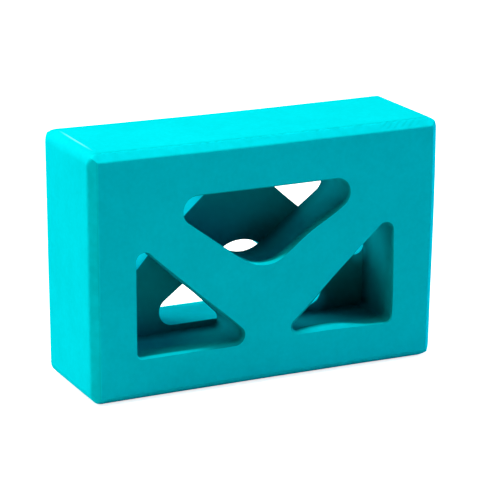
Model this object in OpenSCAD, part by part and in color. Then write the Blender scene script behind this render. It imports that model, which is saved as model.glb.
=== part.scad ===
// Yoga block of one piece of foam, lightened by cut-outs.
// The block stands on a long narrow side. X runs along its length, Y through its
// thickness and Z up, and the origin is at the middle of the side it stands on.
//
// Cut-outs enter from the front and from the back, and each set stops halfway. The
// three in front leave two struts that spread upwards in a V. The three at the back
// are the same set turned upside down, so that their struts lean the other way and
// cross the front ones, and the block is open only where the two sets overlap.

/* [Block] */
// Length of the block
block_l = 228.6; // [200:0.1:260]
// Height of the block, as it stands on a long narrow side
block_h = 152.4; // [140:0.1:180]
// Thickness of the block, from front face to back face
block_t = 76.2; // [50:0.1:100]
// Flat bevel around the front face and around the back face
face_bevel = 5; // [1:0.1:6]
// Rounding of the four edges that run from front to back
edge_r = 7.4; // [6.5:0.1:14]

/* [Frame left around the cut-outs] */
// Width of the post at each end
post_w = 29.8; // [24:0.1:34]
// Height of the rail beside the long side of the centre cut-out
centre_rail_h = 31; // [24:0.1:36]
// Height of the rail beside the corner cut-outs
corner_rail_h = 27.2; // [22:0.1:34]
// Shift of all the cut-outs along the length of the block
cut_shift = -1.5; // [-4:0.1:4]

/* [Struts, measured between sharp corners] */
// Gap between the tips of the two corner cut-outs
foot_gap = 16.4; // [10:0.1:24]
// Drop of the centre cut-out's point below the middle of the height
point_drop = 9.3; // [7:0.1:14]
// Drop from the centre rail to the top of a corner cut-out
head_drop = 24.8; // [18:0.1:30]
// Distance from the post to the tip of the centre cut-out
head_inset = 12.2; // [4:0.1:20]

/* [Roundings of the cut-outs] */
// Radius at the point of the centre cut-out
centre_point_r = 21; // [10:0.5:24]
// Radius at the two tips of the centre cut-out
centre_tip_r = 9; // [3:0.5:10]
// Radius at the two tips of a corner cut-out
corner_tip_r = 5; // [2:0.5:8]
// Radius at the square corner of a corner cut-out
corner_square_r = 2.5; // [1:0.5:8]
// Radius of the rim where a cut-out meets the face
rim_r = 2; // [0.5:0.1:4]

/* [Hidden] */
$fn = 96;

// How far a cutter runs past the face
past = 1;
// How far the corners of a cut-out stand proud of its sides
corner_proud = 0.02;
// Half of the thickness, which is the depth of every cut-out
half_t = block_t / 2;
// The four lines, seen from the front with the middle of the block at 0,
// that the cut-outs are drawn between
post_x = block_l / 2 - post_w;
top_y = block_h / 2 - centre_rail_h;
floor_y = corner_rail_h - block_h / 2;

// Outline of the block, anticlockwise
block_outline = [
    [-block_l / 2, -block_h / 2],
    [block_l / 2, -block_h / 2],
    [block_l / 2, block_h / 2],
    [-block_l / 2, block_h / 2]
];
// Outline of the centre cut-out: its point, then its two tips
centre_outline = [
    [0, -point_drop],
    [post_x - head_inset, top_y],
    [head_inset - post_x, top_y]
];
centre_radii = [centre_point_r, centre_tip_r, centre_tip_r];
// Outline of the right corner cut-out: its low tip, square corner and high tip
corner_outline = [
    [foot_gap / 2, floor_y],
    [post_x, floor_y],
    [post_x, top_y - head_drop]
];
corner_radii = [corner_tip_r, corner_square_r, corner_tip_r];

// Item i of a list that joins up into a ring
function ring(list, i) = list[(i + len(list)) % len(list)];

// Unit vector square to the side from a to b, towards the inside of the outline
function inward(a, b) = [a.y - b.y, b.x - a.x] / norm(b - a);

// Solid that fills an outline with rounded corners. Its edge has the section drawn by
// the child, which is turned about each corner's centre and carried along each side.
// The child is drawn from x = 0, and x = $reach in it is the line of the outline.
// No section comes further inside that line than shy, and the corners stand proud of
// the sides by a hair, so that the two cross cleanly. from_z and to_z are its ends.
module rounded_sweep(outline, radii, shy, proud, from_z, to_z) {
    last = len(outline) - 1;
    // The core stops short of the outline, and the sides lap over its edge.
    room = min(radii) - shy;
    core_in = shy + room / 3;
    side_in = shy + 2 * room / 3;
    normals = [for (i = [0:last]) inward(outline[i], ring(outline, i + 1))];
    centres = [
        for (i = [0:last])
            let (both = ring(normals, i - 1) + normals[i])
            outline[i] + 2 * radii[i] * both / (both * both)
    ];

    translate([0, 0, from_z])
        linear_extrude(to_z - from_z)
            polygon([
                for (i = [0:last])
                    each [
                        centres[i] - (radii[i] - core_in) * ring(normals, i - 1),
                        centres[i] - (radii[i] - core_in) * normals[i]
                    ]
            ]);

    for (i = [0:last]) {
        normal = normals[i];
        start = centres[i] - radii[i] * normal;
        end = ring(centres, i + 1) - ring(radii, i + 1) * normal;

        translate(centres[i])
            rotate_extrude() {
                $reach = radii[i] + proud;
                children();
            }
        translate(end)
            rotate([90, 0, atan2(-normal.y, -normal.x)])
                linear_extrude(norm(end - start))
                    translate([-side_in, 0]) {
                        $reach = side_in;
                        children();
                    }
    }
}

// Section of the block's edge, beveled at both faces
module block_section() {
    polygon([
        [0, -half_t],
        [$reach - face_bevel, -half_t],
        [$reach, face_bevel - half_t],
        [$reach, half_t - face_bevel],
        [$reach - face_bevel, half_t],
        [0, half_t]
    ]);
}

// Section of a cut-out's edge: a straight wall that opens out round a rim
module cut_section() {
    difference() {
        square([$reach + rim_r, half_t + past]);
        translate([$reach, -past])
            square([rim_r + past, half_t - rim_r + past]);
        translate([$reach + rim_r, half_t - rim_r])
            circle(rim_r);
    }
}

// One cut-out, from the middle of the thickness to past the front face
module cut_out(outline, radii) {
    rounded_sweep(outline, radii, 0, corner_proud, 0, half_t + past)
        cut_section();
}

// The three cut-outs that enter from the front
module cut_set() {
    translate([cut_shift, 0, 0]) {
        cut_out(centre_outline, centre_radii);
        cut_out(corner_outline, corner_radii);
        mirror([1, 0, 0])
            cut_out(corner_outline, corner_radii);
    }
}

// The whole block. It is drawn lying on its back and then stood up.
module foam_block() {
    color("darkturquoise")
        translate([0, 0, block_h / 2])
            rotate([90, 0, 0])
                difference() {
                    rounded_sweep(block_outline, [for (corner = block_outline) edge_r],
                                  face_bevel, 0, -half_t, half_t)
                        block_section();
                    cut_set();
                    rotate([180, 0, 0])
                        cut_set();
                }
}

foam_block();
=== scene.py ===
"""A firm foam yoga block: its visual model, its finish and a plain studio."""

import math

import bmesh
import bpy
import numpy as np
from bpy.props import (
    FloatProperty,
    FloatVectorProperty,
    PointerProperty,
)
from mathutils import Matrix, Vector, noise


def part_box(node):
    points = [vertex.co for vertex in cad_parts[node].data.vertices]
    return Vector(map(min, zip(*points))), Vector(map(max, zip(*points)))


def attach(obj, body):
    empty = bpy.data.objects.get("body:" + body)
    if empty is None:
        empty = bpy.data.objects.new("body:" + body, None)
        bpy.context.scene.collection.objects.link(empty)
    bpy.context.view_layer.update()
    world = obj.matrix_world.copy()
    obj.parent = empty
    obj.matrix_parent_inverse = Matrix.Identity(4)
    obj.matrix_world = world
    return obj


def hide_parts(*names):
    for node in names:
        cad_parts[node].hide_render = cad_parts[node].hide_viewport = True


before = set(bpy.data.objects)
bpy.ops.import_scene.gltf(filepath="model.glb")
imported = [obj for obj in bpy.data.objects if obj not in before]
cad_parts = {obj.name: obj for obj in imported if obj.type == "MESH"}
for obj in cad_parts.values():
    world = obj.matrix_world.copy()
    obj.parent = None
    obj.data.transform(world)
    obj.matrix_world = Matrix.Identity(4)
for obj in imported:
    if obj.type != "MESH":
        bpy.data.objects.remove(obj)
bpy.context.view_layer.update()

bl_info = {
    "name": "Foam yoga block",
    "version": (1, 0, 0),
    "blender": (4, 5, 0),
    "location": "3D View > Sidebar > Foam Block",
    "description": "Builds a one-piece foam yoga block with crossed struts, and a studio",
    "category": "Add Mesh",
}

NODE = "foam_block"
BODY = "root"
LOW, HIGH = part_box(NODE)
BLOCK = HIGH - LOW

MM = 0.001
NEAR = 0.001 * MM

# Share of the rim's radius along each side of a cut-out. The sides follow the corners
# of its outline, each from its own corner to the next.
RIMS = {"centre": (0.15, 0.5, 0.15), "right": (0.35, 0.3, 0.3), "left": (0.25, 0.8, 0.4)}

# Where the foam swells into a cut-out, or recedes where a height is negative. Each
# swelling has, in millimetres, its middle (x and z in the outline as it is drawn for the
# front), how far it reaches, how high it stands by the face and how high it stands at the
# middle of the thickness. Last comes how much wider the rim is there, in widths of the rim.
FRONT_SWELLINGS = {
    "centre": (((1, 71), 24, 3.2, 0, 5), ((25, 86), 30, 2.6, 0, 0)),
    "right": (((38, 27.2), 36, 3.6, 0, 5), ((84.5, 42), 48, -0.9, -0.3, 0)),
    "left": (
        ((-12, 27.2), 50, 0, 0, -0.7),
        ((-33, 52), 25, 0, -1, 0),
        ((-22, 42), 34, 0, 0, 1.2),
        ((-66, 80), 34, 0, -1.2, 0),
        ((-82, 93), 12, -0.5, 0, 0),
    ),
}
BACK_SWELLINGS = {
    "centre": (((54, 112), 14, 0, -1.3, 0), ((0, 72), 22, 0, 0.6, 0)),
    "right": (((78, 92), 13, 0, -2.2, 0), ((28, 45), 48, 0, -1.1, 0)),
    "left": (((-72, 84), 16, 0, -1.4, 0),),
}

# Painted light and shade on the cut foam, where it is painted paler or darker: middle and
# reach in millimetres, share of the colour at the middle. The first three are painted
# highlights on the lips; the other paler ones are painted light on lit walls, and the
# darker ones painted shade in corners and recesses.
PAINTED_LIGHT_AND_SHADE_SPOTS = (
    ((0, -38.1, 74), (23, 2.4, 8), 3),
    ((52, -38.1, 28), (50, 2.4, 7), 2.9),
    ((-68, -38.1, 26), (36, 2.4, 7), 3),
    ((-66, 5, 74), (9, 9, 9), 1.25),
    ((-90, 0, 55), (50, 30, 45), 1.25),
    ((-55, 0, 115), (45, 20, 30), 1.3),
    ((32, -36, 93), (36, 6, 26), 0.65),
    ((-20, -37, 36), (26, 8, 16), 0.7),
    ((-68, -33, 27), (48, 10, 6), 0.9),
    ((12, 0, 78), (26, 30, 20), 0.75),
    ((81, -5, 25), (60, 50, 46), 0.47),
    ((51, 2, 34), (9, 9, 9), 2.3),
    ((80, 2.5, 61), (9, 9, 9), 2.1),
)

# Name, turn and rise in degrees, power in watts and tint of each lamp
LAMPS = (
    ("top lamp", 0, 88, 17, (1, 1, 0.74)),
    ("left lamp", -90, 60, 38, (1, 1, 0.84)),
    ("back left lamp", -150, 12, 34, (1, 1, 0.95)),
    ("back lamp", 180, 28, 13, (1, 1, 0.82)),
    ("right lamp", 90, 12, 32, (0.87, 0.87, 1)),
    ("front lamp", 45, 12, 6, (0.6, 0.6, 1)),
)


# ------------------------------------------------------------------ settings


def length_setting(name, description, default, **more):
    """A length property, in metres."""
    return FloatProperty(
        name=name, description=description, default=default, unit="LENGTH",
        precision=4, **more
    )


def colour_setting(name, description, default):
    """A colour property, in linear values."""
    return FloatVectorProperty(
        name=name, description=description, default=default, subtype="COLOR",
        size=3, min=0, max=1
    )


def share_setting(name, description, default):
    """A number from 0 to 1."""
    return FloatProperty(
        name=name, description=description, default=default, subtype="FACTOR",
        min=0, max=1
    )


class BlockSizes(bpy.types.PropertyGroup):
    """Sizes of the block, and of the frame left around its cut-outs."""

    long_side: length_setting("Length", "Length of the block", BLOCK.x)
    height: length_setting("Height", "Height of the block on its long side", BLOCK.z)
    thickness: length_setting("Thickness", "From front face to back face", BLOCK.y)
    face_bevel: length_setting("Face Bevel", "Flat bevel around each face", 5 * MM)
    edge_radius: length_setting("Edge Radius", "Rounding of the edges from front to back", 7.4 * MM)
    crisp_edge: length_setting("Crisp Edge", "Rounding where a bevel meets a face", 0.5 * MM)
    soft_edge: length_setting("Soft Edge", "Rounding where a bevel meets the sides", 1.4 * MM)
    post: length_setting("Post", "Width of the post at each end", 29.8 * MM)
    centre_rail: length_setting("Centre Rail", "Height of the rail beside the centre cut-out", 31 * MM)
    corner_rail: length_setting("Corner Rail", "Height of the rail beside the corner cut-outs", 27.2 * MM)
    cut_shift: length_setting("Cut Shift", "Shift of all the cut-outs along the block", -1.5 * MM)
    foot_gap: length_setting("Foot Gap", "Gap between the tips of the corner cut-outs", 16.4 * MM)
    point_drop: length_setting("Point Drop", "Drop of the centre point below the middle", 9.3 * MM)
    head_drop: length_setting("Head Drop", "From the centre rail to a corner cut-out", 24.8 * MM)
    head_inset: length_setting("Head Inset", "From the post to a tip of the centre cut-out", 12.2 * MM)
    centre_point_radius: length_setting("Centre Point Radius", "At the centre cut-out's point", 21 * MM)
    centre_tip_radius: length_setting("Centre Tip Radius", "At the centre cut-out's tips", 9 * MM)
    corner_tip_radius: length_setting("Corner Tip Radius", "At a corner cut-out's tips", 5 * MM)
    corner_square_radius: length_setting("Square Corner Radius", "At its square corner", 2.5 * MM)
    rim_radius: length_setting("Rim Radius", "Rounding of the rims of the cut-outs", 2 * MM)


class FoamShape(bpy.types.PropertyGroup):
    """How far the soft material departs from the plain shape."""

    top_sag: length_setting("Top Sag", "How far the top bows in at its middle", 0.42 * MM)
    base_sag: length_setting("Base Sag", "How far the base bows in at its middle", 0.35 * MM)
    bulge: length_setting("Bulge", "How far the right end bulges at its middle", 0.15 * MM)
    lean: length_setting("Lean", "How far the right end leans out, from base to top", 3.4 * MM)
    shoulder: length_setting("Shoulder", "How far the right end draws in by the top", 1 * MM)
    flare: length_setting("Flare", "How far the upper left corner at the back juts out", 0.6 * MM)
    wave: length_setting("Wave", "Depth of the slow unevenness of the faces", 0.12 * MM)
    wave_size: length_setting("Wave Size", "Size of that unevenness", 45 * MM)
    grid: length_setting("Grid", "Spacing of the mesh on the flat faces", 6 * MM)


class FoamFinish(bpy.types.PropertyGroup):
    """Colours and grain of the foam."""

    skin: colour_setting("Foam", "Colour of the foam", (0.0, 0.52, 0.655))
    cut_foam: colour_setting("Cut Foam", "Colour of the foam where it is cut", (0.0, 0.535, 0.645))
    roughness: share_setting("Roughness", "Roughness of the skin", 0.6)
    gloss: share_setting("Gloss", "Strength of the highlights", 0.0)
    relief: share_setting("Relief", "Strength of the cells' relief", 0.35)
    cell: length_setting("Cell", "Size of the foam's cells", 0.55 * MM)
    mottle: share_setting("Mottle", "How much darker the beveled edges are in places", 0.1)
    crease: share_setting("Crease", "How much darker the line is where a bevel ends", 0.1)
    marks: share_setting("Marks", "How much darker the slanted strokes at one corner are", 0.12)
    stroke: length_setting("Stroke", "Spacing of those strokes", 5 * MM)
    # Painted highlight: the crest is a paler line along the rounded left upper edge.
    crest: share_setting("Crest", "How much paler the highlit crest of the left upper edge is", 0.11)
    # Painted light: the bevel along the top is painted lighter.
    top_bevel_light: share_setting("Top Bevel Light", "How much lighter the painted upper edges are", 0.34)
    # Painted shade on the front cut walls: the wall, mouth and corner tones darken them, and shade is how
    # far the painted shade by the corners reaches.
    wall_tone: share_setting("Wall Tone", "Share of the colour left on the front cut walls", 0.85)
    mouth_tone: share_setting("Mouth Tone", "Share of that left on them by the front face", 0.6)
    corner_tone: share_setting("Corner Tone", "Share of that left on them where a cut stops", 0.5)
    # Painted light: the back tone paints the back cut walls paler.
    back_tone: FloatProperty(name="Back Tone", description="Paleness of the back cut walls",
                             default=1.28, min=0)
    shade: length_setting("Shade", "How far the corners' darkness reaches", 14 * MM)


class StudioSettings(bpy.types.PropertyGroup):
    """Camera, lamps and floor."""

    azimuth: FloatProperty(name="Azimuth", description="Camera's turn round the block",
                           default=math.radians(-25.236), subtype="ANGLE", unit="ROTATION")
    elevation: FloatProperty(name="Elevation", description="Camera's height as an angle",
                             default=math.radians(16.045), subtype="ANGLE", unit="ROTATION")
    distance: length_setting("Distance", "From the camera to what it looks at", 1.4699)
    target: FloatVectorProperty(name="Target", description="What the camera looks at",
                                default=(-0.00119, 0.00140, 0.07884), size=3, unit="LENGTH")
    lens: FloatProperty(name="Lens", description="Focal length in millimetres",
                        default=180.7, min=1)
    floor: colour_setting("Floor", "Colour of the floor", (0.74, 0.74, 0.74))
    glow: share_setting("Glow", "What the floor adds to its own light, to look white", 0.8)
    fill: share_setting("Fill", "How much light the surround gives the block", 0.06)


# ------------------------------------------------------------------ selection


def deselect_all():
    """Nothing stays selected, in object mode."""
    bpy.ops.object.select_all(action="DESELECT")


def edit(obj, mode):
    """obj alone is selected and is in edit mode, with one kind of element to select."""
    deselect_all()
    obj.select_set(True)
    bpy.context.view_layer.objects.active = obj
    bpy.ops.object.mode_set(mode="EDIT")
    bpy.ops.mesh.select_mode(type=mode)
    bpy.ops.mesh.select_all(action="DESELECT")
    return bmesh.from_edit_mesh(obj.data)


def select_edges(mesh, wanted):
    """Selects the edges of an edit mesh for which wanted(edge) is true."""
    bpy.ops.mesh.select_all(action="DESELECT")
    for edge in [edge for edge in mesh.edges if wanted(edge)]:
        edge.select_set(True)


def runs_deep(edge):
    """Whether an edge runs straight from front to back."""
    along = edge.verts[1].co - edge.verts[0].co
    return abs(along.x) < NEAR and abs(along.z) < NEAR


def lies_at(edge, depth):
    """Whether an edge lies in one of the two planes at that depth, front or back."""
    first, second = (vert.co.y for vert in edge.verts)
    return abs(first - second) < NEAR and abs(abs(first) - depth) < NEAR


def ends_bevel(edge):
    """Whether an edge lies between a side of the block and a sloping bevel."""
    upright, sloping, level = 0.1, 0.5, 0.9
    slopes = sorted(abs(face.normal.y) for face in edge.link_faces)
    return slopes[0] < upright < sloping < slopes[1] < level


# ------------------------------------------------------------------ the block's body


def add_block(sizes, name, skin):
    """A plain cube of the block's size, standing on the floor."""
    deselect_all()
    bpy.ops.mesh.primitive_cube_add(
        size=1,
        location=(0, 0, sizes.height / 2),
        scale=(sizes.long_side, sizes.thickness, sizes.height),
    )
    block = bpy.context.object
    block.name = name
    block.data.materials.append(skin)
    bpy.ops.object.transform_apply(location=True, rotation=True, scale=True)
    return block


def bevel_edges(block, wanted, radius, steps):
    """Bevels the edges for which wanted(edge) is true: flat in one step, else round."""
    mesh = edit(block, "EDGE")
    select_edges(mesh, wanted)
    bpy.ops.mesh.bevel(offset=radius, segments=steps, affect="EDGES", clamp_overlap=False)
    bpy.ops.object.mode_set(mode="OBJECT")


def merge_close(body):
    """Makes one of the points that a Boolean leaves in the same place."""
    same_place = 0.02 * MM
    edit(body, "VERT")
    bpy.ops.mesh.select_all(action="SELECT")
    bpy.ops.mesh.remove_doubles(threshold=same_place)
    bpy.ops.object.mode_set(mode="OBJECT")


def combine(body, tool, operation):
    """Joins the tool to the body by a Boolean, and removes the tool."""
    deselect_all()
    bpy.context.view_layer.objects.active = body
    body.select_set(True)
    boolean = body.modifiers.new("Boolean", "BOOLEAN")
    boolean.operation = operation
    boolean.solver = "EXACT"
    boolean.material_mode = "TRANSFER"
    boolean.object = tool
    bpy.ops.object.modifier_apply(modifier=boolean.name)
    bpy.data.objects.remove(tool)


def add_body(sizes, skin):
    """The block without its cut-outs: rounded edges, and faces with mitred bevels."""
    flat, fine_steps, corner_steps = 1, 4, 14
    half = sizes.thickness / 2
    body = add_block(sizes, "yoga_block", skin)
    bevel_edges(body, runs_deep, sizes.edge_radius, corner_steps)
    mitred = add_block(sizes, "mitred", skin)
    bevel_edges(mitred, lambda edge: lies_at(edge, half), sizes.face_bevel, flat)
    combine(body, mitred, "INTERSECT")
    merge_close(body)
    bevel_edges(body, ends_bevel, sizes.soft_edge, fine_steps)
    bevel_edges(body, lambda edge: lies_at(edge, half), sizes.crisp_edge, fine_steps)
    return body


# ------------------------------------------------------------------ the cut-outs


def centre_corners(sizes):
    """Corners of the centre cut-out, seen from the front: its point, then its tips."""
    middle = sizes.height / 2
    post = sizes.long_side / 2 - sizes.post
    top = sizes.height - sizes.centre_rail
    tip = post - sizes.head_inset
    corners = [(0, middle - sizes.point_drop), (tip, top), (-tip, top)]
    radii = [sizes.centre_point_radius, sizes.centre_tip_radius, sizes.centre_tip_radius]
    return corners, radii


def corner_corners(sizes):
    """Corners of the right corner cut-out: its low tip, square corner and high tip."""
    post = sizes.long_side / 2 - sizes.post
    top = sizes.height - sizes.centre_rail - sizes.head_drop
    corners = [(sizes.foot_gap / 2, sizes.corner_rail), (post, sizes.corner_rail), (post, top)]
    radii = [sizes.corner_tip_radius, sizes.corner_square_radius, sizes.corner_tip_radius]
    return corners, radii


def mirrored(corners, radii):
    """The same outline on the other side of the middle, still anticlockwise."""
    return [(-x, z) for x, z in reversed(corners)], radii[::-1]


def rounded_outline(corners, radii, rims):
    """Points, outward normals and rim shares round an anticlockwise outline."""
    arc_step = math.radians(7.5)
    straight_step = 3.5 * MM
    corners = [Vector(corner) for corner in corners]
    count = len(corners)
    arcs = []
    for i, radius in enumerate(radii):
        before = (corners[i] - corners[i - 1]).normalized()
        after = (corners[(i + 1) % count] - corners[i]).normalized()
        turn = before.angle(after)
        reach = radius * math.tan(turn / 2)
        start = corners[i] - before * reach
        outward = Vector((before.y, -before.x))
        centre = start - outward * radius
        angle = math.atan2(outward.y, outward.x)
        steps = max(2, math.ceil(turn / arc_step))
        arc = []
        for k in range(steps + 1):
            at = angle + turn * k / steps
            normal = Vector((math.cos(at), math.sin(at)))
            rim = rims[i - 1] + (rims[i] - rims[i - 1]) * k / steps
            arc.append((centre + radius * normal, normal, rim))
        arcs.append(arc)
    ring = []
    for i, arc in enumerate(arcs):
        ring += arc
        start, normal, rim = arc[-1]
        end = arcs[(i + 1) % count][0][0]
        steps = max(1, round((end - start).length / straight_step))
        ring += [(start.lerp(end, k / steps), normal, rim) for k in range(1, steps)]
    return ring


def swelling(swellings, point, depth):
    """How far the foam swells into a cut-out there, and how much wider the rim is."""
    full_depth = 3 * MM
    last_depth = 10 * MM
    fall = min(max((depth - full_depth) / (last_depth - full_depth), 0), 1)
    by_face = 1 - fall * fall * (3 - 2 * fall)
    height = widened = 0
    for middle, reach, face_rise, middle_rise, widening in swellings:
        away = (point / MM - Vector(middle)).length / reach
        weight = max(0, 1 - away * away) ** 2
        height += (face_rise * by_face + middle_rise * (1 - by_face)) * MM * weight
        widened += widening * weight
    return height, widened


def wall_rings(sizes):
    """Depth below the face, and outward spread, of each ring of a cut-out's wall."""
    wall_steps = 12
    crowding = 1.5
    rim_steps = 7
    steepest = math.radians(86)
    half = sizes.thickness / 2
    rim = sizes.rim_radius
    rings = []
    for k in range(wall_steps):
        deep = (1 - k / wall_steps) ** crowding
        rings.append((rim + (half - rim) * deep, 0))
    for k in range(rim_steps + 1):
        angle = steepest * k / rim_steps
        rings.append((rim * (1 - math.sin(angle)), rim * (1 - math.cos(angle))))
    return rings + [(-rim, rim)]


def add_cutter(outline, rims, swellings, sizes, front):
    """A closed body of a cut-out, from the middle of the thickness to past a face."""
    lap = 0.04 * MM
    half = sizes.thickness / 2
    ring = rounded_outline(*outline, rims)
    rings = wall_rings(sizes)
    side = -1 if front else 1

    def place(index, depth, spread):
        point, normal, rim = ring[index]
        height, widened = swelling(swellings, point, depth)
        at = point + normal * (spread * rim * (1 + widened) - height)
        x = at.x + sizes.cut_shift
        z = at.y if front else sizes.height - at.y
        return Vector((x, side * (half - depth), z))

    deselect_all()
    bpy.ops.mesh.primitive_circle_add(vertices=len(ring), radius=half, fill_type="NGON")
    cutter = bpy.context.object
    cutter.name = "cutter"
    mesh = edit(cutter, "FACE")
    order = mesh.verts.layers.int.new("order")
    first_depth = half if front else half + lap
    for index, vert in enumerate(mesh.verts):
        vert[order] = index
        vert.co = place(index, first_depth, 0)
    bmesh.update_edit_mesh(cutter.data)
    bpy.ops.mesh.select_all(action="SELECT")
    for depth, spread in rings[1:]:
        bpy.ops.mesh.extrude_region_move()
        mesh = bmesh.from_edit_mesh(cutter.data)
        order = mesh.verts.layers.int["order"]
        for vert in mesh.verts:
            if vert.select:
                vert.co = place(vert[order], depth, spread)
        bmesh.update_edit_mesh(cutter.data)
    bpy.ops.mesh.select_all(action="SELECT")
    bpy.ops.mesh.normals_make_consistent(inside=False)
    bpy.ops.object.mode_set(mode="OBJECT")
    return cutter


def cut_outs(body, sizes, wall_material):
    """The three cut-outs of the front, and the same turned upside down at the back."""
    right = corner_corners(sizes)
    outlines = {"centre": centre_corners(sizes), "right": right, "left": mirrored(*right)}
    for front in (True, False):
        for name, outline in outlines.items():
            swellings = FRONT_SWELLINGS if front else BACK_SWELLINGS
            cutter = add_cutter(outline, RIMS[name], swellings[name], sizes, front)
            cutter.data.materials.append(wall_material)
            combine(body, cutter, "DIFFERENCE")


# ------------------------------------------------------------------ the soft surface


def grid_skin(body, sizes, shape):
    """Cuts the skin, which is the first material, into a grid, so that it can bow.

    No cut comes so near the block's edges that it would split their narrow strips. Each
    one clears the selection, so the skin is selected again before the next.
    """
    clear = 9 * MM
    edit(body, "FACE")
    body.active_material_index = 0
    spans = (
        ((1, 0, 0), -sizes.long_side / 2, sizes.long_side),
        ((0, 1, 0), -sizes.thickness / 2, sizes.thickness),
        ((0, 0, 1), 0, sizes.height),
    )
    for axis, start, span in spans:
        steps = round((span - 2 * clear) / shape.grid)
        for k in range(steps + 1):
            bpy.ops.mesh.select_all(action="DESELECT")
            bpy.ops.object.material_slot_select()
            place = Vector(axis) * (start + clear + (span - 2 * clear) * k / steps)
            bpy.ops.mesh.bisect(plane_co=place, plane_no=axis)
    bpy.ops.object.mode_set(mode="OBJECT")


def settle(body, sizes, shape):
    """Bows and leans the sides, and gives every face a slow, slight unevenness."""
    shoulder_start = 0.2
    count = len(body.data.vertices)
    places = np.zeros(count * 3)
    body.data.vertices.foreach_get("co", places)
    places = places.reshape(-1, 3)
    x, y, z = places.T
    along = x / (sizes.long_side / 2)
    up = z / (sizes.height / 2) - 1
    right, left = np.maximum(along, 0), np.maximum(-along, 0)
    arch = 1 - along ** 2
    corner = shape.flare * left * (1 + up) / 2 * (0.5 + y / sizes.thickness)
    sag = np.where(up > 0, shape.top_sag * arch, shape.base_sag * arch ** 2)
    near_top = np.maximum(up - shoulder_start, 0) / (1 - shoulder_start)
    out = shape.lean * up / 2 + shape.bulge * (1 - up ** 2) - shape.shoulder * near_top ** 2
    places[:, 2] += corner - sag * up
    places[:, 0] += right * out
    places[:, 0] -= corner
    for place in places:
        place += np.array(noise.noise_vector(Vector(place) / shape.wave_size)) * shape.wave
    body.data.vertices.foreach_set("co", places.ravel())
    body.data.update()


def smooth(body):
    """Smooth shading that keeps the flat faces flat and the cut edges sharp."""
    sharp_angle = math.radians(35)
    flat_faces_weight = 80
    deselect_all()
    body.select_set(True)
    bpy.context.view_layer.objects.active = body
    bpy.ops.object.shade_smooth_by_angle(angle=sharp_angle)
    weighted = body.modifiers.new("Normals", "WEIGHTED_NORMAL")
    weighted.keep_sharp = True
    weighted.weight = flat_faces_weight
    bpy.ops.object.modifier_apply(modifier=weighted.name)


# ------------------------------------------------------------------ materials


class Graph:
    """Adds nodes to a node tree, and links them."""

    def __init__(self, tree):
        """Takes a node tree and empties it."""
        self.tree = tree
        self.tree.nodes.clear()

    def add(self, kind, **settings):
        """A new node of that kind, with its settings made."""
        node = self.tree.nodes.new("ShaderNode" + kind)
        for name, value in settings.items():
            setattr(node, name, value)
        return node

    def feed(self, socket, value):
        """Links an output to the socket, or sets the socket to a plain value."""
        if isinstance(value, bpy.types.NodeSocket):
            self.tree.links.new(value, socket)
        else:
            socket.default_value = value

    def math(self, operation, *values):
        """The result of a Math node."""
        node = self.add("Math", operation=operation)
        for socket, value in zip(node.inputs, values):
            self.feed(socket, value)
        return node.outputs[0]

    def ramp(self, value, low, high, to_low=0.0, to_high=1.0):
        """The value's smooth way from low to high, as a number from to_low to to_high."""
        node = self.add("MapRange", interpolation_type="SMOOTHSTEP")
        for socket, number in zip(node.inputs, (value, low, high, to_low, to_high)):
            self.feed(socket, number)
        return node.outputs[0]

    def noise(self, vector, size, detail=2.0):
        """Noise from 0 to 1 with spots of about that size."""
        node = self.add("TexNoise")
        self.feed(node.inputs["Vector"], vector)
        self.feed(node.inputs["Scale"], 1 / size)
        self.feed(node.inputs["Detail"], detail)
        return node.outputs[0]

    def axes(self, vector):
        """The three components of a vector."""
        node = self.add("SeparateXYZ")
        self.feed(node.inputs[0], vector)
        return node.outputs

    def scaled(self, colour, *factors):
        """The colour times every factor."""
        factor = factors[0]
        for other in factors[1:]:
            factor = self.math("MULTIPLY", factor, other)
        node = self.add("VectorMath", operation="SCALE")
        self.feed(node.inputs[0], colour)
        self.feed(node.inputs["Scale"], factor)
        return node.outputs[0]

    def lifted(self, colour, amount):
        """The colour with the same amount of white added."""
        white = self.add("CombineXYZ")
        for socket in white.inputs:
            self.feed(socket, amount)
        node = self.add("VectorMath", operation="ADD")
        self.feed(node.inputs[0], colour)
        self.feed(node.inputs[1], white.outputs[0])
        return node.outputs[0]

    def spot(self, place, middle, reach, peak):
        """A number that is peak in the middle of an ellipsoid, and 1 outside it."""
        core = 0.35
        offset = self.add("VectorMath", operation="SUBTRACT")
        self.feed(offset.inputs[0], place)
        self.feed(offset.inputs[1], Vector(middle) * MM)
        shares = self.add("VectorMath", operation="DIVIDE")
        self.feed(shares.inputs[0], offset.outputs[0])
        self.feed(shares.inputs[1], Vector(reach) * MM)
        away = self.add("VectorMath", operation="LENGTH")
        self.feed(away.inputs[0], shares.outputs[0])
        return self.ramp(away.outputs["Value"], core, 1.0, peak, 1.0)

    def seen(self):
        """1 for what the camera sees, straight or by reflection or through glass."""
        path = self.add("LightPath").outputs
        mirrored = self.math("MAXIMUM", path["Is Glossy Ray"], path["Is Transmission Ray"])
        return self.math("MAXIMUM", path["Is Camera Ray"], mirrored)

    def group(self, tree, **values):
        """A node group put to use, with its inputs fed by name."""
        node = self.add("Group", node_tree=tree)
        for name, value in values.items():
            self.feed(node.inputs[name], value)
        return node.outputs


def new_group(name, inputs, outputs):
    """A node group with named sockets, and its graph."""
    tree = bpy.data.node_groups.new(name, "ShaderNodeTree")
    for socket, kind in inputs.items():
        tree.interface.new_socket(socket, in_out="INPUT", socket_type="NodeSocket" + kind)
    for socket, kind in outputs.items():
        tree.interface.new_socket(socket, in_out="OUTPUT", socket_type="NodeSocket" + kind)
    graph = Graph(tree)
    ends = tree.nodes.new("NodeGroupInput"), tree.nodes.new("NodeGroupOutput")
    return tree, graph, ends[0].outputs, ends[1].inputs


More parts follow.
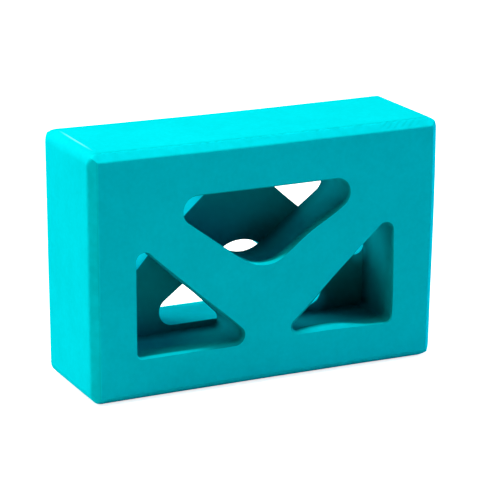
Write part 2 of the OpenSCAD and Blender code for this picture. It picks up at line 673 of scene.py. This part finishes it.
def grain_group():
    """The fine closed cells of the foam: their relief, and how they speckle it."""
    smoothness = 0.6
    dents_per_cell = 0.22
    dome_height, dent_depth = 0.6, 0.6
    tree, graph, given, made = new_group("foam grain", {"Vector": "Vector", "Cell": "Float"},
                                         {"Height": "Float", "Speckle": "Float"})
    density = graph.math("DIVIDE", 1.0, given["Cell"])
    cells = graph.add("TexVoronoi", feature="SMOOTH_F1")
    graph.feed(cells.inputs["Vector"], given["Vector"])
    graph.feed(cells.inputs["Scale"], density)
    graph.feed(cells.inputs["Smoothness"], smoothness)
    coarse = graph.add("TexNoise")
    graph.feed(coarse.inputs["Vector"], given["Vector"])
    graph.feed(coarse.inputs["Scale"], graph.math("MULTIPLY", density, dents_per_cell))
    graph.feed(coarse.inputs["Detail"], 3.0)
    domes = graph.math("MULTIPLY", cells.outputs["Distance"], dome_height)
    dents = graph.math("MULTIPLY", coarse.outputs[0], dent_depth)
    graph.feed(made["Height"], graph.math("ADD", domes, dents))
    graph.feed(made["Speckle"], graph.ramp(coarse.outputs[0], 0.3, 0.7, 0.975, 1.02))
    return tree


def tone_group():
    """The slow, slight change of tone over a sheet of foam."""
    tree, graph, given, made = new_group("foam tone", {"Vector": "Vector"},
                                         {"Tone": "Float"})
    broad = graph.ramp(graph.noise(given["Vector"], 38 * MM, 3.0), 0.3, 0.7, 0.975, 1.02)
    patches = graph.ramp(graph.noise(given["Vector"], 9 * MM, 4.0), 0.35, 0.65, 0.985, 1.01)
    graph.feed(made["Tone"], graph.math("MULTIPLY", broad, patches))
    return tree


def new_material(name):
    """A material, its graph, its shader and the object's own coordinates in it."""
    material = bpy.data.materials.new(name)
    material.use_nodes = True
    graph = Graph(material.node_tree)
    output = graph.add("OutputMaterial")
    shader = graph.add("BsdfPrincipled")
    place = graph.add("TexCoord").outputs["Object"]
    graph.feed(output.inputs["Surface"], shader.outputs["BSDF"])
    return material, graph, shader, place


def finish_foam(graph, shader, finish, colour, height, relief):
    """Joins a foam colour and relief to the shader."""
    bump = graph.add("Bump")
    graph.feed(bump.inputs["Strength"], finish.relief)
    graph.feed(bump.inputs["Distance"], relief)
    graph.feed(bump.inputs["Height"], height)
    graph.feed(shader.inputs["Normal"], bump.outputs["Normal"])
    graph.feed(shader.inputs["Base Color"], colour)
    graph.feed(shader.inputs["Specular IOR Level"], finish.gloss)


def corner_strokes(graph, place, sizes, finish):
    """How much darker the slanted strokes on the bevel by the right upper corner are."""
    slant = -1.8
    x, y, z = graph.axes(place)
    sway = graph.math("MULTIPLY", graph.noise(place, 6 * MM, 2.0), 3 * MM)
    slanted = graph.math("ADD", x, graph.math("MULTIPLY", y, slant))
    across = graph.math("ADD", slanted, sway)
    stroke = graph.math("SINE", graph.math("MULTIPLY", across, 2 * math.pi / finish.stroke))
    limits = (
        graph.ramp(x, 72 * MM, 80 * MM),
        graph.ramp(x, 97 * MM, 104 * MM, 1.0, 0.0),
        graph.ramp(y, -33 * MM, -31 * MM, 1.0, 0.0),
        graph.ramp(y, -37.4 * MM, -36 * MM),
        graph.ramp(z, sizes.height - 6 * MM, sizes.height - 5 * MM),
    )
    strokes = graph.ramp(stroke, -0.3, 0.9)
    for limit in limits:
        strokes = graph.math("MULTIPLY", strokes, limit)
    return graph.math("MULTIPLY", strokes, finish.marks)


def painted_crest_highlight(graph, place, sizes, finish):
    """How much paler the painted highlight line on the top, beside its left end, is."""
    from_end = 6.5 * MM
    x, y, z = graph.axes(place)
    line = graph.math("ABSOLUTE", graph.math("ADD", x, sizes.long_side / 2 - from_end))
    limits = (
        graph.ramp(y, -28 * MM, -2 * MM),
        graph.ramp(y, 8 * MM, 28 * MM, 1.0, 0.0),
        graph.ramp(z, sizes.height - 2 * MM, sizes.height - 1 * MM),
    )
    crest = graph.ramp(line, 0.2 * MM, 0.9 * MM, finish.crest, 0.0)
    for limit in limits:
        crest = graph.math("MULTIPLY", crest, limit)
    return crest


def skin_material(finish, sizes, grain, tone):
    """The moulded skin, a little mottled and marked where it is beveled, with painted light on the top
    bevel and a painted highlight along the left upper edge.
    """
    material, graph, shader, place = new_material("foam skin")
    cells = graph.group(grain, Vector=place, Cell=finish.cell)
    slow = graph.group(tone, Vector=place)["Tone"]
    x, y, z = graph.axes(place)
    half = sizes.thickness / 2
    depth = graph.math("ABSOLUTE", y)

    ragged = graph.math("MULTIPLY", graph.noise(place, 4 * MM, 3.0), 3 * MM)
    past_line = graph.math("ADD", depth, ragged)
    line = half - sizes.face_bevel + 1.5 * MM
    beveled = graph.math("MULTIPLY", graph.ramp(past_line, line - 0.6 * MM, line + 0.6 * MM),
                         graph.ramp(depth, half - 0.5 * MM, half - 0.2 * MM, 1.0, 0.0))
    blotches = graph.ramp(graph.noise(place, 5 * MM, 4.0), 0.42, 0.6, 0.25, 1.0)
    mottle = graph.math("MULTIPLY", graph.math("MULTIPLY", beveled, blotches), finish.mottle)

    crease_line = graph.math("ABSOLUTE", graph.math("SUBTRACT", depth, half - 0.55 * MM))
    crease = graph.ramp(crease_line, 0.15 * MM, 0.4 * MM, finish.crease, 0.0)

    marks = corner_strokes(graph, place, sizes, finish)
    # Painted light: the bevel along the top is painted lighter, as far as the mitres to the ends.
    upper = graph.ramp(z, sizes.height - 6.5 * MM, sizes.height - 4.5 * MM, 0.0, finish.top_bevel_light)
    from_top = graph.math("SUBTRACT", sizes.height, z)
    from_end = graph.math("SUBTRACT", sizes.long_side / 2, graph.math("ABSOLUTE", x))
    mitre = graph.ramp(graph.math("SUBTRACT", from_end, from_top), -0.3 * MM, 0.3 * MM)
    top_bevel_light = graph.math("MULTIPLY", graph.math("MULTIPLY", beveled, upper), mitre)
    dimming = graph.math("ADD", graph.math("ADD", mottle, crease), marks)
    keep = graph.math("SUBTRACT", graph.math("ADD", 1.0, top_bevel_light), dimming)
    plain = graph.scaled((*finish.skin,), slow, cells["Speckle"], keep)

    # Painted highlight: a paler line along the rounded left upper edge.
    crest = painted_crest_highlight(graph, place, sizes, finish)
    colour = graph.lifted(plain, crest)
    rough = graph.ramp(graph.noise(place, 7 * MM, 3.0), 0.3, 0.7,
                       finish.roughness - 0.06, finish.roughness + 0.06)
    graph.feed(shader.inputs["Roughness"], rough)
    finish_foam(graph, shader, finish, colour, cells["Height"], 0.12 * MM)
    return material


def cut_material(finish, grain, tone):
    """The cut foam inside the cut-outs: open cells, with painted shade deep in, by the front face and in
    dark spots, and painted light on the lips, the back walls and lit spots.
    """
    material, graph, shader, place = new_material("cut foam")
    coarser = 1.7
    cells = graph.group(grain, Vector=place, Cell=finish.cell * coarser)
    slow = graph.group(tone, Vector=place)["Tone"]
    mouth_start, mouth_end = -38 * MM, -22 * MM
    seam = 1.2 * MM
    y = graph.axes(place)["Y"]
    # Painted shade on the front cut walls: darker where the cut stops, darker by the front face, and
    # darker overall by the wall tone.
    corner = graph.ramp(y, -finish.shade, 0, 1.0, finish.corner_tone)
    mouth = graph.ramp(y, mouth_start, mouth_end, finish.mouth_tone, 1.0)
    front = graph.math("MULTIPLY", graph.math("MULTIPLY", corner, mouth), finish.wall_tone)
    # Painted light on the back cut walls, which the back tone paints paler.
    is_back = graph.ramp(y, 0, seam)
    is_front = graph.math("SUBTRACT", 1.0, is_back)
    painted_light_and_shade = graph.math("ADD", graph.math("MULTIPLY", front, is_front),
                          graph.math("MULTIPLY", is_back, finish.back_tone))
    # Painted highlights on the lips, painted light on lit walls, and painted shade in dark corners and
    # recesses
    for spot in PAINTED_LIGHT_AND_SHADE_SPOTS:
        painted_light_and_shade = graph.math("MULTIPLY", painted_light_and_shade, graph.spot(place, *spot))
    colour = graph.scaled((*finish.cut_foam,), slow, cells["Speckle"], painted_light_and_shade)
    rough = graph.ramp(graph.noise(place, 5 * MM, 3.0), 0.3, 0.7,
                       finish.roughness + 0.04, finish.roughness + 0.18)
    graph.feed(shader.inputs["Roughness"], rough)
    finish_foam(graph, shader, finish, colour, cells["Height"], 0.2 * MM)
    return material


# ------------------------------------------------------------------ the stage


def direction(turn, rise):
    """The way from the block to a camera or lamp, turned round it and raised."""
    return Vector((math.sin(turn) * math.cos(rise), -math.cos(turn) * math.cos(rise),
                   math.sin(rise)))


def add_camera(studio):
    """The camera, turned round the block and looking at its middle."""
    turn, rise = studio.azimuth, studio.elevation
    data = bpy.data.cameras.new("camera")
    data.lens = studio.lens
    data.sensor_width = 36
    camera = bpy.data.objects.new("camera", data)
    camera.location = Vector(studio.target) + direction(turn, rise) * studio.distance
    camera.rotation_euler = (math.pi / 2 - rise, 0, turn)
    bpy.context.scene.collection.objects.link(camera)
    bpy.context.scene.camera = camera


def add_lamp(name, turn, rise, power, tint):
    """A square soft lamp that looks at the block from the given direction."""
    distance, size = 2, 1
    middle = Vector((0, 0, BLOCK.z / 2))
    away = direction(math.radians(turn), math.radians(rise))
    data = bpy.data.lights.new(name, "AREA")
    data.shape = "SQUARE"
    data.size = size
    data.energy = power
    data.color = tint
    lamp = bpy.data.objects.new(name, data)
    lamp.location = middle + away * distance
    lamp.rotation_euler = away.to_track_quat("Z", "Y").to_euler()
    bpy.context.scene.collection.objects.link(lamp)


def add_world(studio):
    """A white surround, which lights the block only faintly."""
    world = bpy.data.worlds.new("studio")
    bpy.context.scene.world = world
    world.use_nodes = True
    graph = Graph(world.node_tree)
    surround = graph.add("Background")
    graph.feed(surround.inputs["Color"], (1, 1, 1, 1))
    rest = graph.math("MULTIPLY", graph.seen(), 1 - studio.fill)
    graph.feed(surround.inputs["Strength"], graph.math("ADD", rest, studio.fill))
    graph.feed(graph.add("OutputWorld").inputs["Surface"], surround.outputs[0])


def floor_material(studio):
    """A plain pale floor that looks white and still takes the block's shadow."""
    material = bpy.data.materials.new("pale floor")
    material.use_nodes = True
    graph = Graph(material.node_tree)
    lit, glow = graph.add("BsdfDiffuse"), graph.add("Emission")
    graph.feed(lit.inputs["Color"], (*studio.floor, 1))
    graph.feed(glow.inputs["Strength"], graph.math("MULTIPLY", graph.seen(), studio.glow))
    both = graph.add("AddShader")
    graph.feed(both.inputs[0], lit.outputs[0])
    graph.feed(both.inputs[1], glow.outputs[0])
    graph.feed(graph.add("OutputMaterial").inputs["Surface"], both.outputs[0])
    return material


def add_floor(studio):
    """The floor that the block stands on."""
    width = 3
    deselect_all()
    bpy.ops.mesh.primitive_plane_add(size=width, location=(0, 0, 0))
    floor = bpy.context.object
    floor.name = "floor"
    floor.data.materials.append(floor_material(studio))


# ------------------------------------------------------------------ operators


class MESH_OT_foam_block(bpy.types.Operator):
    """Build the foam block with its crossed struts"""

    bl_idname = "mesh.foam_block_add"
    bl_label = "Foam Block"

    def execute(self, context):
        """Makes the block, and says what it stands for in the frame."""
        scene = context.scene
        sizes, shape = scene.foam_block_sizes, scene.foam_block_shape
        finish = scene.foam_block_finish
        grain, tone = grain_group(), tone_group()
        skin = skin_material(finish, sizes, grain, tone)
        wall = cut_material(finish, grain, tone)
        body = add_body(sizes, skin)
        cut_outs(body, sizes, wall)
        grid_skin(body, sizes, shape)
        settle(body, sizes, shape)
        smooth(body)
        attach(body, BODY)
        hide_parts(NODE)
        return {"FINISHED"}


class SCENE_OT_foam_block_stage(bpy.types.Operator):
    """Set up the camera, the lamps and the floor"""

    bl_idname = "scene.foam_block_stage_add"
    bl_label = "Stage"

    def execute(self, context):
        """Makes the camera, the surround, the floor and the lamps."""
        studio = context.scene.foam_block_studio
        add_camera(studio)
        add_world(studio)
        add_floor(studio)
        for lamp in LAMPS:
            add_lamp(*lamp)
        context.scene.view_settings.view_transform = "Standard"
        return {"FINISHED"}


class VIEW3D_PT_foam_block(bpy.types.Panel):
    """Sidebar panel with the block's settings and operators"""

    bl_label = "Foam Block"
    bl_space_type = "VIEW_3D"
    bl_region_type = "UI"
    bl_category = "Foam Block"

    def draw(self, context):
        """Lists every setting, and a button for each operator."""
        for group in ("sizes", "shape", "finish", "studio"):
            settings = getattr(context.scene, f"foam_block_{group}")
            box = self.layout.box()
            box.label(text=group.title())
            for name in settings.__annotations__:
                box.prop(settings, name)
        self.layout.operator(MESH_OT_foam_block.bl_idname)
        self.layout.operator(SCENE_OT_foam_block_stage.bl_idname)


GROUPS = {
    "foam_block_sizes": BlockSizes,
    "foam_block_shape": FoamShape,
    "foam_block_finish": FoamFinish,
    "foam_block_studio": StudioSettings,
}
CLASSES = (
    *GROUPS.values(),
    MESH_OT_foam_block,
    SCENE_OT_foam_block_stage,
    VIEW3D_PT_foam_block,
)


def register():
    """Adds the classes, and their settings to every scene."""
    for cls in CLASSES:
        bpy.utils.register_class(cls)
    for name, group in GROUPS.items():
        setattr(bpy.types.Scene, name, PointerProperty(type=group))


def unregister():
    """Takes the settings and the classes away again."""
    for name in GROUPS:
        delattr(bpy.types.Scene, name)
    for cls in reversed(CLASSES):
        bpy.utils.unregister_class(cls)


def main():
    """Builds the block and its stage."""
    register()
    bpy.ops.mesh.foam_block_add()
    bpy.ops.scene.foam_block_stage_add()


if __name__ == "__main__":
    main()
